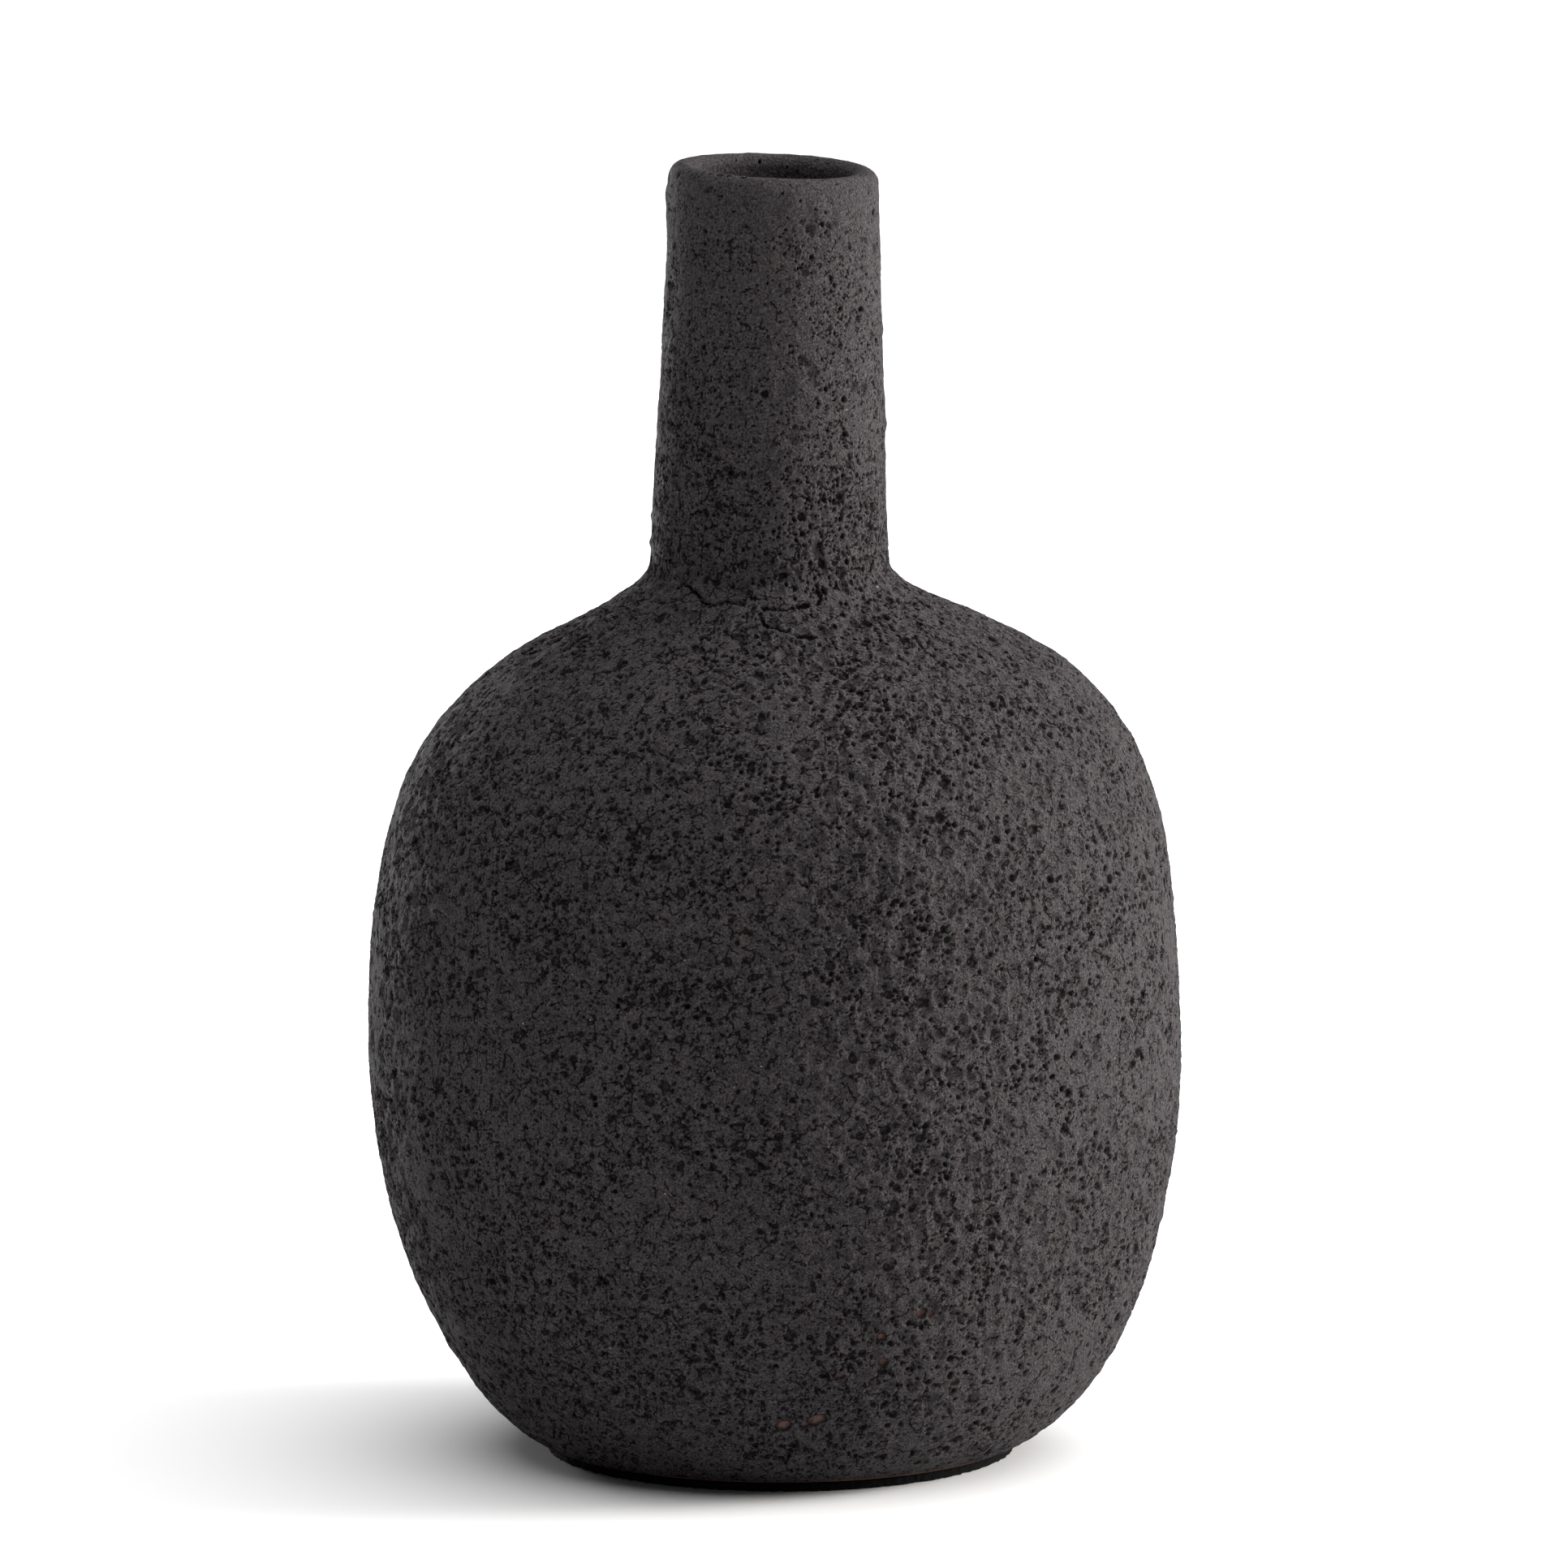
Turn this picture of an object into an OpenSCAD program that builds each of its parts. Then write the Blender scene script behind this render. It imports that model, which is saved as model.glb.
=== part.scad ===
// Tall-necked stoneware vase with a rough crater-glaze coat.
// A thrown belly and a thrown neck are joined with slip and a clay coil, coated outside,
// glazed inside and stood on a stuck-on felt pad.
// Millimetres, +Z up, origin at the middle of the felt's underside.

/* [Overall] */
// Height from the felt's underside to the top of the lip
height = 300; // [290:1:320]
// Diameter of the belly at its widest, over the coat
belly_d = 188; // [180:1:196]
// Height of the widest ring
belly_z = 93.5; // [88:0.5:104]
// Diameter of the coat's lower edge
base_d = 112; // [104:1:116]

/* [Shoulder and neck] */
// Diameter where the shoulder starts to flatten
shoulder_d = 136; // [130:1:140]
// Height of that ring
shoulder_z = 181.5; // [178:0.5:186]
// Slope of the shoulder there, in degrees above level
shoulder_slope = 42.5; // [38:0.5:46]
// Diameter of the neck at its foot, over the coat
neck_foot_d = 55; // [53:0.5:58]
// Height at which the neck's straight taper starts
neck_foot_z = 208; // [206:0.5:210]
// Diameter of the neck just under the lip, over the coat
neck_top_d = 48.2; // [47:0.2:51]
// Diameter of the finished bore through the neck
bore_d = 36; // [34:0.5:37]

/* [Walls and layers] */
// Thickness of the thrown belly wall and of its floor
clay_t = 6; // [5:0.5:7]
// Thickness of the crater coat on the outside
coat_t = 1.5; // [1.2:0.1:1.8]
// Thickness of the glaze inside, and of the coat where it runs down into the bore
glaze_t = 0.5; // [0.3:0.1:0.7]
// How far the coat runs down inside the mouth, measured from the top of the lip
coat_dip = 16; // [10:1:24]
// Thickness of the slip between belly and neck
slip_t = 0.8; // [0.5:0.1:1.2]
// Bare clay left showing under the coat's lower edge
bare_edge = 0.4; // [0.2:0.1:0.8]

/* [Felt pad] */
// Diameter of the felt pad
felt_d = 109; // [100:1:110]
// Thickness of the felt
felt_t = 2.2; // [1.5:0.1:3]
// Thickness of its adhesive film
film_t = 0.2; // [0.1:0.05:0.3]
// How far the film stops short of the felt's edge
film_inset = 0.3; // [0:0.1:1]

/* [Hidden] */
$fn = 96;

clay_z = felt_t + film_t;             // underside of the fired clay
coat_z = clay_z + bare_edge;          // lower edge of the coat
liner_d = coat_t + clay_t;            // depth of the bare inside wall below the surface
bore_r = bore_d / 2;
clay_bore_r = bore_r + glaze_t;       // bore of the clay before glazing
curve_steps = 12;                     // straight steps along each curve
lip_steps = 8;                        // straight steps along each quarter of the lip

// The outline is four curves from the foot to the neck, each [start, lead out, lead in, end]
function rise(angle, length) = [-cos(angle) * length, sin(angle) * length];
foot_flare = [20, 8];                 // how the wall sets off outwards from the foot
foot = [base_d / 2, coat_z];
widest = [belly_d / 2, belly_z];
shoulder = [shoulder_d / 2, shoulder_z];
neck_foot = [neck_foot_d / 2, neck_foot_z];
under_belly = [foot, foot + foot_flare, widest - [0, 41], widest];
over_belly = [widest, widest + [0, 64], shoulder - rise(shoulder_slope, 17.5), shoulder];
flare = [shoulder, shoulder + rise(shoulder_slope, 15), neck_foot - [0, 8.5], neck_foot];
coil_start = 0.5;                     // where along the flare the joint coil begins

function curve_at(c, t) = pow(1 - t, 3) * c[0] + 3 * pow(1 - t, 2) * t * c[1]
    + 3 * (1 - t) * t * t * c[2] + pow(t, 3) * c[3];
function heading_at(c, t) = pow(1 - t, 2) * (c[1] - c[0]) + 2 * (1 - t) * t * (c[2] - c[1])
    + t * t * (c[3] - c[2]);
// A point of a curve, moved inwards square to the surface
function inward(c, t, depth) = let (h = heading_at(c, t) / norm(heading_at(c, t)))
    curve_at(c, t) + depth * [-h[1], h[0]];
// A stretch of a curve at a depth below the surface
function stretch(c, depth, from = 0, to = 1) =
    [for (i = [0 : curve_steps]) inward(c, from + (to - from) * i / curve_steps, depth)];
function reversed(points) = [for (i = [len(points) - 1 : -1 : 0]) points[i]];
function arc(centre, r, from, to) = [for (i = [0 : lip_steps])
    let (a = from + (to - from) * i / lip_steps) centre + r * [cos(a), sin(a)]];
// One closed outline from stretches whose shared end points are kept once
function joined(lists) = [for (i = [0 : len(lists) - 1]) each [for (j = [0 : len(lists[i]) - 1])
    if (i == 0 || j > 0 || norm(lists[i][0] - lists[i - 1][len(lists[i - 1]) - 1]) > 0.001)
        lists[i][j]]];

// The belly's surface at a depth, from foot to shoulder
function belly_line(depth) = joined([stretch(under_belly, depth), stretch(over_belly, depth)]);
// The inside of the belly, closing from the shoulder to the bore
function throat(depth) = let (
    start = inward(over_belly, 1, depth),
    end = [clay_bore_r + liner_d - depth, throat_z])
    stretch([start, start + rise(shoulder_slope, 18), end - [0, 9], end], 0);

// Levels of the joint between belly and neck
seat_slope = 14;                      // slope of the clay under the coil, in degrees
seat_land = 1.5;                      // straight bore in the belly piece, under the joint
coil_low = inward(flare, coil_start, coat_t);
coil_high = inward(flare, 1, coat_t);
joint_z = coil_low[1] + (coil_low[0] - coil_high[0]) * tan(seat_slope);
neck_z = joint_z + slip_t;
throat_z = joint_z - seat_land;       // where the inside becomes a straight bore

// The lip is a full round, over the coat and again over the clay
lip_r = (neck_top_d / 2 - bore_r) / 2;
lip = [bore_r + lip_r, height - lip_r];
clay_lip_r = lip_r - (coat_t + glaze_t) / 2;
clay_lip = [clay_bore_r + clay_lip_r, height - coat_t - clay_lip_r];

// The thrown belly: floor, wall and shoulder, up to the seat for the neck
module stoneware_body() {
    inside = joined([belly_line(liner_d), throat(liner_d)]);
    wall = belly_line(coat_t);
    color("sienna")
        rotate_extrude()
            polygon(joined([
                [[0, clay_z], [wall[0][0], clay_z]],
                wall,
                stretch(flare, coat_t, 0, coil_start),
                [[coil_high[0], joint_z], [clay_bore_r, joint_z]],
                reversed(inside),
                [[0, inside[0][1]]]]));
}

// The thrown neck, from the slip joint up to its rounded lip
module stoneware_neck() {
    color("sienna")
        rotate_extrude()
            polygon(joined([
                [[clay_bore_r, neck_z], [coil_high[0], neck_z], coil_high],
                arc(clay_lip, clay_lip_r, 0, 180)]));
}

// The slip that sticks the neck to the belly
module luting_slip() {
    color("saddlebrown")
        translate([0, 0, joint_z])
            difference() {
                cylinder(h = slip_t, r = coil_high[0]);
                translate([0, 0, -1]) cylinder(h = slip_t + 2, r = clay_bore_r);
            }
}

// The clay coil pressed into the corner round the neck's foot
module joint_coil() {
    color("peru")
        rotate_extrude()
            polygon(joined([
                [[coil_high[0], joint_z]],
                stretch(flare, coat_t, coil_start, 1)]));
}

// The crater coat over the whole outside, the lip and the top of the bore
module crater_coat() {
    wall = belly_line(coat_t);
    color("dimgray")
        rotate_extrude()
            polygon(joined([
                [[wall[0][0], coat_z]],
                belly_line(0),
                stretch(flare, 0),
                arc(lip, lip_r, 0, 180),
                [[bore_r, height - coat_dip], [clay_bore_r, height - coat_dip]],
                reversed(arc(clay_lip, clay_lip_r, 0, 180)),
                reversed(stretch(flare, coat_t, coil_start, 1)),
                reversed(stretch(flare, coat_t, 0, coil_start)),
                reversed(wall)]));
}

// The glaze that seals the inside, from the floor up to the coat in the bore
module liner_glaze() {
    clay = joined([belly_line(liner_d), throat(liner_d)]);
    face = joined([belly_line(liner_d + glaze_t), throat(liner_d + glaze_t)]);
    color("darkslategray")
        rotate_extrude()
            polygon(joined([
                [[0, clay[0][1]]],
                clay,
                [[clay_bore_r, height - coat_dip], [bore_r, height - coat_dip]],
                reversed(face),
                [[0, face[0][1]]]]));
}

// The adhesive film between clay and felt
module adhesive_film() {
    color("tan")
        translate([0, 0, felt_t])
            cylinder(h = film_t, d = felt_d - 2 * film_inset);
}

// The felt pad the vase stands on
module felt_pad() {
    color("black")
        cylinder(h = felt_t, d = felt_d);
}

stoneware_body();
stoneware_neck();
luting_slip();
joint_coil();
crater_coat();
liner_glaze();
adhesive_film();
felt_pad();
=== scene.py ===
"""Stoneware bottle vase: a thrown belly and neck under a rough crater coat, on a felt pad."""
import math

import bpy
import numpy as np
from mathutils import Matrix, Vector


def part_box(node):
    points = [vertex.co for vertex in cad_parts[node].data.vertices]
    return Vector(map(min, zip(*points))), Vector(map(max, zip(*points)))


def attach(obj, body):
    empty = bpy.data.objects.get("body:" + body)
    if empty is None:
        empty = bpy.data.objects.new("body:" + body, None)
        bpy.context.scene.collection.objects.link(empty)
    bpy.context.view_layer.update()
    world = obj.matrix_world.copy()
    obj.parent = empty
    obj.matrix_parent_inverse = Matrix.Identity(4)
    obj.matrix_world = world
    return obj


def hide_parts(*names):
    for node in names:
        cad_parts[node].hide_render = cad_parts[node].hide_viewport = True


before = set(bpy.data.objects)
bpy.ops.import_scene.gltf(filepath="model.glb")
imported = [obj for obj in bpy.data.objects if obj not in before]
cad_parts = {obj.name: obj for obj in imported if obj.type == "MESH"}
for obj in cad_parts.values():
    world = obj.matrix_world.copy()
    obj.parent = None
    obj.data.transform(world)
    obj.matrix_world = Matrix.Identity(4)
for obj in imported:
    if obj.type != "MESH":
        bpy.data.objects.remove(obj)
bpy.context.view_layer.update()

# ---- Stoneware body --------------------------------------------------------------------------
# The floor, belly and shoulder, thrown in one piece from red-brown clay and left with a level seat
# for the neck. The coat covers it outside and the liner inside; its foot stands bare on the film.

MM = 0.001
TURN = 2 * math.pi                                   # once round, in radians
coat_low, coat_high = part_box("crater_coat")
body_low, body_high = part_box("stoneware_body")
neck_low, neck_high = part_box("stoneware_neck")
coil_low, coil_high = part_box("joint_coil")
liner_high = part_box("liner_glaze")[1]
slip_thickness = 0.8 * MM
seat_land = 1.5 * MM                                 # straight bore under the seat
joint_level = neck_low.z - slip_thickness            # the seat for the neck
throat_level = joint_level - seat_land               # where the inside becomes a straight bore
coat_depth = coat_high.x - body_high.x               # thickness of the coat
wall = body_high.x - liner_high.x                    # thickness of the clay
glaze_depth = 0.5 * MM
bore = 18 * MM
clay_bore = bore + glaze_depth

# The outline over the coat, as (radius, height): foot, widest ring, shoulder and foot of the neck
foot = np.array([56 * MM, coat_low.z])
widest = np.array([coat_high.x, 93.5 * MM])
shoulder = np.array([68 * MM, 181.5 * MM])
neck_foot = np.array([neck_high.x + coat_depth, coil_high.z])
shoulder_slope = math.radians(42.5)
shoulder_rise = np.array([-math.cos(shoulder_slope), math.sin(shoulder_slope)])


def curve(start, lead_out, lead_in, end, steps=120):
    """Points along one smooth stretch of the outline, as (radius, height)."""
    t = np.linspace(0, 1, steps)[:, None]
    return ((1 - t) ** 3 * start + 3 * (1 - t) ** 2 * t * lead_out
            + 3 * (1 - t) * t ** 2 * lead_in + t ** 3 * end)


def evenly(points, spacing):
    """The same line with points an even distance apart."""
    points = points[np.r_[True, np.linalg.norm(np.diff(points, axis=0), axis=1) > 1e-7]]
    length = np.r_[0, np.cumsum(np.linalg.norm(np.diff(points, axis=0), axis=1))]
    at = np.linspace(0, length[-1], max(2, round(length[-1] / spacing) + 1))
    return np.stack([np.interp(at, length, points[:, k]) for k in (0, 1)], axis=1)


def square_to(line):
    """Unit directions square to a line, pointing out of the clay."""
    heading = np.gradient(line, axis=0)
    heading /= np.linalg.norm(heading, axis=1)[:, None]
    return np.stack([heading[:, 1], -heading[:, 0]], axis=1)


def deeper(line, depth):
    """The line moved into the clay."""
    return line - depth * square_to(line)


def inside_line(depth):
    """The inside of the belly, from the floor's edge up to the foot of the bore."""
    belly = deeper(belly_line, depth)
    end = np.array([clay_bore - (depth - coat_depth - wall), throat_level])
    throat = curve(belly[-1], belly[-1] + shoulder_rise * 18 * MM, end - [0, 9 * MM], end)
    return np.vstack([belly, throat])


def throwing_rings(line, pitch, height):
    """The line with the shallow spiral ridges that fingers leave, faded out at its ends."""
    line = evenly(line, 0.7 * MM)
    reach = np.linspace(0, 1, len(line))
    wander = 1.2 * np.sin(line[:, 1] * 140)          # the ridges are not quite evenly spaced
    wave = np.sin(line[:, 1] * TURN / pitch + wander) - 1
    fade = np.clip(np.minimum(reach, 1 - reach) * 12, 0, 1)
    return line + (wave * fade * height / 2)[:, None] * square_to(line)


def settle(points):
    """The lean of the thrown pot, the neck set off centre, and the rim sunk to one side."""
    x, y, z = points.T
    heights = np.array([0, 25, 60, 95, 130, 160, 180, 190, 195.5, 200, 206, 300]) * MM
    offsets = np.array([0, 0.45, -0.8, -1.4, -1.5, -0.7, 0.4, 0.9, -0.2, -2.0, -2.5, -1.5]) * MM
    fine = np.linspace(0, heights[-1], 601)
    blend = np.hanning(19)[1:-1] / np.hanning(19).sum()
    smooth_offsets = np.convolve(np.pad(np.interp(fine, heights, offsets), 8, "edge"), blend, "valid")
    rim_tilt = 0.043                                 # fall of the rim for each unit across it
    drop = np.clip((z - 240 * MM) / (60 * MM), 0, 1) ** 2 * rim_tilt
    return np.stack([x + np.interp(z, fine, smooth_offsets), y, z - drop * x], axis=1)


def turned(line, counts):
    """Points of a line spun round the axis, with a number of points for each ring."""
    around = [np.arange(n) * TURN / n for n in counts]
    return np.vstack([np.stack([r * np.cos(a), r * np.sin(a), np.full(len(a), z)], 1)
                      for (r, z), a in zip(line, around)])


def weave(counts, closed):
    """Faces between rings of points, as (corner numbers, turns, rings) for each kind of join.

    A ring may have twice or half the points of the next, and a ring of one point is a pole."""
    starts = np.r_[0, np.cumsum(counts)]
    joins = []
    for k in range(len(counts) if closed else len(counts) - 1):
        n = (k + 1) % len(counts)
        a, b = counts[k], counts[n]
        j = np.arange(min(a, b) if min(a, b) > 1 else max(a, b))
        if a == b:
            lower, upper = [j, j + 1], [j + 1, j]
        elif b == 1:
            lower, upper = [j, j + 1], [0 * j]
        elif a == 1:
            lower, upper = [0 * j], [j + 1, j]
        elif a == 2 * b:
            lower, upper = [2 * j, 2 * j + 1, 2 * j + 2], [j + 1, j]
        else:
            lower, upper = [j, j + 1], [2 * j + 2, 2 * j + 1, 2 * j]
        corners = np.stack([starts[k] + c % a for c in lower] + [starts[n] + c % b for c in upper], 1)
        turn_share = np.stack([c / a for c in lower] + [c / b for c in upper], 1)
        rings = np.tile([k] * len(lower) + [k + 1] * len(upper), (len(j), 1))
        joins.append((corners, turn_share, rings))
    return joins


def build(name, points, joins, ring_v, node, material):
    """A smooth mesh piece from ring points and woven faces, standing for one CAD node."""
    mesh = bpy.data.meshes.new(name)
    sides = np.concatenate([np.full(len(c), c.shape[1]) for c, _, _ in joins])
    corners = np.concatenate([c.ravel() for c, _, _ in joins])
    mesh.vertices.add(len(points))
    mesh.vertices.foreach_set("co", points.astype(np.float32).ravel())
    mesh.loops.add(len(corners))
    mesh.loops.foreach_set("vertex_index", corners.astype(np.int32))
    mesh.polygons.add(len(sides))
    mesh.polygons.foreach_set("loop_start", np.r_[0, np.cumsum(sides)[:-1]].astype(np.int32))
    across = np.concatenate([t.ravel() for _, t, _ in joins])
    up = ring_v[np.concatenate([r.ravel() for _, _, r in joins])]
    layer = mesh.uv_layers.new(name="OFBake")
    layer.data.foreach_set("uv", np.stack([across, up], 1).astype(np.float32).ravel())
    mesh.update(calc_edges=True)
    mesh.shade_smooth()
    mesh.materials.append(material)
    piece = bpy.data.objects.new(name, mesh)
    bpy.context.scene.collection.objects.link(piece)
    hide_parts(node)
    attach(piece, "root")
    return piece


def turn(name, line, material, pitch, columns, closed=False):
    """A piece turned from one line. A closed line is a ring; an open one starts and ends on the axis."""
    line = np.asarray(line)
    if closed:
        line = evenly(np.vstack([line, line[:1]]), pitch)[:-1]
        counts = np.full(len(line), columns)
    else:
        line = evenly(line, pitch)
        counts = np.r_[1, np.full(len(line) - 2, columns), 1]
    up = np.linspace(0, 1, len(line) + (1 if closed else 0))
    points = settle(turned(line, counts))
    return build(name + "_form", points, weave(counts, closed), up, name, material)


def linear(hex_code):
    """A screen colour such as 4b4746 as linear red, green, blue and alpha."""
    srgb = [int(hex_code[k:k + 2], 16) / 255 for k in (0, 2, 4)]
    return [c / 12.92 if c <= 0.04045 else ((c + 0.055) / 1.055) ** 2.4 for c in srgb] + [1]


def feed(tree, node, inputs):
    """Sets a node's inputs: to a plain value, to an output, or to the first live output of a node."""
    for socket, value in inputs.items():
        if isinstance(value, bpy.types.Node):
            value = next(out for out in value.outputs if out.enabled)
        if isinstance(value, bpy.types.NodeSocket):
            tree.links.new(value, node.inputs[socket])
        else:
            node.inputs[socket].default_value = value


def add(tree, kind, inputs, **settings):
    """Adds a node with its settings and links.

    Inputs go by name or number. A MapRange's are the value, the range it is read in (1 and 2) and the
    range it is turned into (3 and 4); a colour Mix's are the share (0) and its two colours (6 and 7)."""
    made = tree.nodes.new("ShaderNode" + kind)
    for key, value in settings.items():
        setattr(made, key, value)
    feed(tree, made, inputs)
    return made


def new_material(name, constants):
    """A node material: itself, its tree, its shader with constants set, and the piece's coordinates."""
    material = bpy.data.materials.new(name)
    material.use_nodes = True
    tree = material.node_tree
    shader = tree.nodes["Principled BSDF"]
    feed(tree, shader, constants)
    return material, tree, shader, add(tree, "TexCoord", {}).outputs["Object"]


SOFT = {"interpolation_type": "SMOOTHSTEP"}          # a range that eases in and out
RGBA = {"data_type": "RGBA"}                         # a mix of two colours


def lay_colour(tree, under, over, pattern, low, high, most=1.0):
    """Lays a colour over another where a pattern goes from `low` to `high`."""
    share = add(tree, "MapRange", {0: pattern, 1: low, 2: high, 3: 0.0, 4: most}, **SOFT)
    return add(tree, "Mix", {0: share, 6: under, 7: over}, **RGBA)


def holes(tree, place, size, least, most, share=1.0):
    """Round holes or specks in a share of the cells of a size, between two radii given in cells."""
    cells = add(tree, "TexVoronoi", {"Vector": place, "Scale": 1 / size}, feature="F1")
    chance = add(tree, "SeparateColor", {0: cells.outputs["Color"]})
    radius = add(tree, "MapRange", {0: chance.outputs[0], 3: least, 4: most})
    inside = add(tree, "Math", {0: radius, 1: cells.outputs["Distance"]}, operation="SUBTRACT")
    hole = add(tree, "MapRange", {0: inside, 1: -0.03, 2: 0.05, 3: 0.0, 4: 1.0}, **SOFT)
    if share == 1:
        return hole
    kept = add(tree, "Math", {0: chance.outputs[1], 1: 1 - share}, operation="GREATER_THAN")
    return add(tree, "Math", {0: hole, 1: kept}, operation="MULTIPLY")


def finish(tree, shader, colour, gloss_pattern, least_and_most, height):
    """Joins colour, roughness between two values and a surface height in millimetres to the shader."""
    low, high = least_and_most
    roughness = add(tree, "MapRange", {0: gloss_pattern, 1: 0.3, 2: 0.7, 3: low, 4: high}, **SOFT)
    bump = add(tree, "Bump", {"Height": height, "Distance": MM, "Strength": 1.0})
    feed(tree, shader, {"Base Color": colour, "Roughness": roughness, "Normal": bump})


def fired_clay(name, body_colour, dark_colour, grog_colour):
    """Bare fired clay: matt and sandy, faintly streaked round the pot, with pale grog and pores.

    Its sand is nearer 0.3 mm, and is drawn at 0.7 mm so that it shows."""
    material, tree, shader, place = new_material(name, {"Specular IOR Level": 0.3})
    cloud = add(tree, "TexNoise", {"Vector": place, "Scale": 1 / (14 * MM), "Detail": 3.0})
    sand = add(tree, "TexNoise", {"Vector": place, "Scale": 1 / (0.7 * MM), "Detail": 4.0,
                                  "Roughness": 0.65})
    streak = add(tree, "Mapping", {"Vector": place, "Scale": (0.15, 0.15, 1.0)})
    drag = add(tree, "TexNoise", {"Vector": streak, "Scale": 1 / (1.6 * MM), "Detail": 3.0})
    grog = holes(tree, place, 1.9 * MM, 0.0, 0.24, 0.3)
    pore = holes(tree, place, 1.1 * MM, -0.1, 0.2)
    colour = lay_colour(tree, linear(body_colour), linear(dark_colour), cloud, 0.35, 0.65)
    colour = lay_colour(tree, colour, linear(grog_colour), drag, 0.45, 0.7, 0.35)
    colour = lay_colour(tree, colour, linear(dark_colour), sand, 0.5, 0.3, 0.5)
    colour = add(tree, "Mix", {0: grog, 6: colour, 7: linear(grog_colour)}, **RGBA)
    colour = add(tree, "Mix", {0: pore, 6: colour, 7: linear("1d110d")}, **RGBA)
    sand_height = add(tree, "Math", {0: sand, 1: 0.14}, operation="MULTIPLY")
    height = add(tree, "Math", {0: drag, 1: 0.18, 2: sand_height}, operation="MULTIPLY_ADD")
    height = add(tree, "Math", {0: pore, 1: -0.15, 2: height}, operation="MULTIPLY_ADD")
    finish(tree, shader, colour, sand, (0.8, 0.95), height)
    return material


belly_line = np.vstack([
    curve(foot, foot + [20 * MM, 8 * MM], widest - [0, 41 * MM], widest),
    curve(widest, widest + [0, 64 * MM], shoulder - shoulder_rise * 17.5 * MM, shoulder)])
flare_line = curve(shoulder, shoulder + shoulder_rise * 15 * MM, neck_foot - [0, 8.5 * MM], neck_foot)
clay_outside = deeper(evenly(np.vstack([belly_line, flare_line]), 0.7 * MM), coat_depth)
clay_inside = throwing_rings(inside_line(coat_depth + wall), 6.5 * MM, 0.5 * MM)
coil_start = int(np.argmax(clay_outside[:, 1] >= coil_low.z))

# Red-brown stoneware, unglazed and fired hard: dull, sandy and a little darker where the fire caught it
red_clay = fired_clay("bare_red_stoneware", "57392d", "3f2820", "7d6355")
turn("stoneware_body", np.vstack([
    [[0, body_low.z], [clay_outside[0, 0], body_low.z]], clay_outside[:coil_start],
    [[neck_high.x, joint_level], [clay_bore, joint_level]], clay_inside[::-1],
    [[0, clay_inside[0, 1]]]]), red_clay, 0.8 * MM, 480)

# ---- Stoneware neck --------------------------------------------------------------------------
# A plain tube thrown apart from the same clay, tapered a little and rounded at the lip. It stands
# on the belly's seat, held by slip below and by a coil round its foot.


def arc(centre, radius, start, end, steps=40):
    """Points round part of a circle, in degrees from level."""
    a = np.radians(np.linspace(start, end, steps))
    return centre + radius * np.stack([np.cos(a), np.sin(a)], axis=1)


neck_top = 24.1 * MM                                 # radius of the neck under its lip, over the coat
lip_round = (neck_top - bore) / 2
clay_lip = lip_round - (coat_depth + glaze_depth) / 2
clay_lip_line = arc([clay_bore + clay_lip, neck_high.z - clay_lip], clay_lip, 0, 180, 14)
neck_outside = throwing_rings(np.array([[neck_high.x, coil_high.z], clay_lip_line[0]]), 5 * MM, 0.25 * MM)
turn("stoneware_neck", np.vstack([
    [[clay_bore, neck_low.z], [neck_high.x, neck_low.z]], neck_outside, clay_lip_line]),
    red_clay, 0.7 * MM, 300, True)

# ---- Luting slip -----------------------------------------------------------------------------
# Watery clay brushed on the seat, that stuck the neck down before the first firing. It is the same
# clay without its coarse grog, and fires a little darker.

slip_clay = fired_clay("fired_joining_slip", "6b4032", "4d2d23", "8a6555")
turn("luting_slip", [[clay_bore, joint_level], [neck_high.x, joint_level], [neck_high.x, neck_low.z],
     [clay_bore, neck_low.z]], slip_clay, 0.4 * MM, 300, True)

# ---- Joint coil ------------------------------------------------------------------------------
# A roll of soft clay pressed into the corner round the neck's foot and smoothed to a hollow curve
# with a finger, so that the shoulder runs up into the neck.

coil_clay = fired_clay("pressed_coil_clay", "744637", "573227", "98786a")
turn("joint_coil", np.vstack([[[neck_high.x, joint_level]], clay_outside[coil_start:]]),
     coil_clay, 0.7 * MM, 400, True)

# ---- Crater coat -----------------------------------------------------------------------------
# A thick dark slip that boiled in the kiln, poured over the outside, the lip and the top of the
# bore. It holds round bubble scars, deep pits, pinholes and shrinkage cracks, and in some pits it
# is thin enough to show the red clay.

grain = 0.4 * MM                                     # spacing of the coat's mesh
scar_rim = 0.09 * MM                                 # height of the rim round a soft bubble scar
thinnest = 0.12 * MM                                 # the least coat left under a pit
columns = int(TURN * widest[0] / grain / 4) * 4      # points round it, a multiple of 4
lip_centre = np.array([bore + lip_round, coat_high.z - lip_round])
face_line = evenly(np.vstack([belly_line, flare_line, [lip_centre + [lip_round, 0]],
                              arc(lip_centre, lip_round, 0, 180), [[bore, liner_high.z]]]), grain)
face_out = square_to(face_line)
along = np.arange(len(face_line)) * grain
spin = np.arange(columns) * TURN / columns
crest = int(np.argmax(face_line[:, 1]))              # the row on top of the lip
smooth_face = np.stack([face_line[:, :1] * np.cos(spin), face_line[:, :1] * np.sin(spin),
                        np.repeat(face_line[:, 1:], columns, 1)], axis=2)
rng = np.random.default_rng(20)


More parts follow.
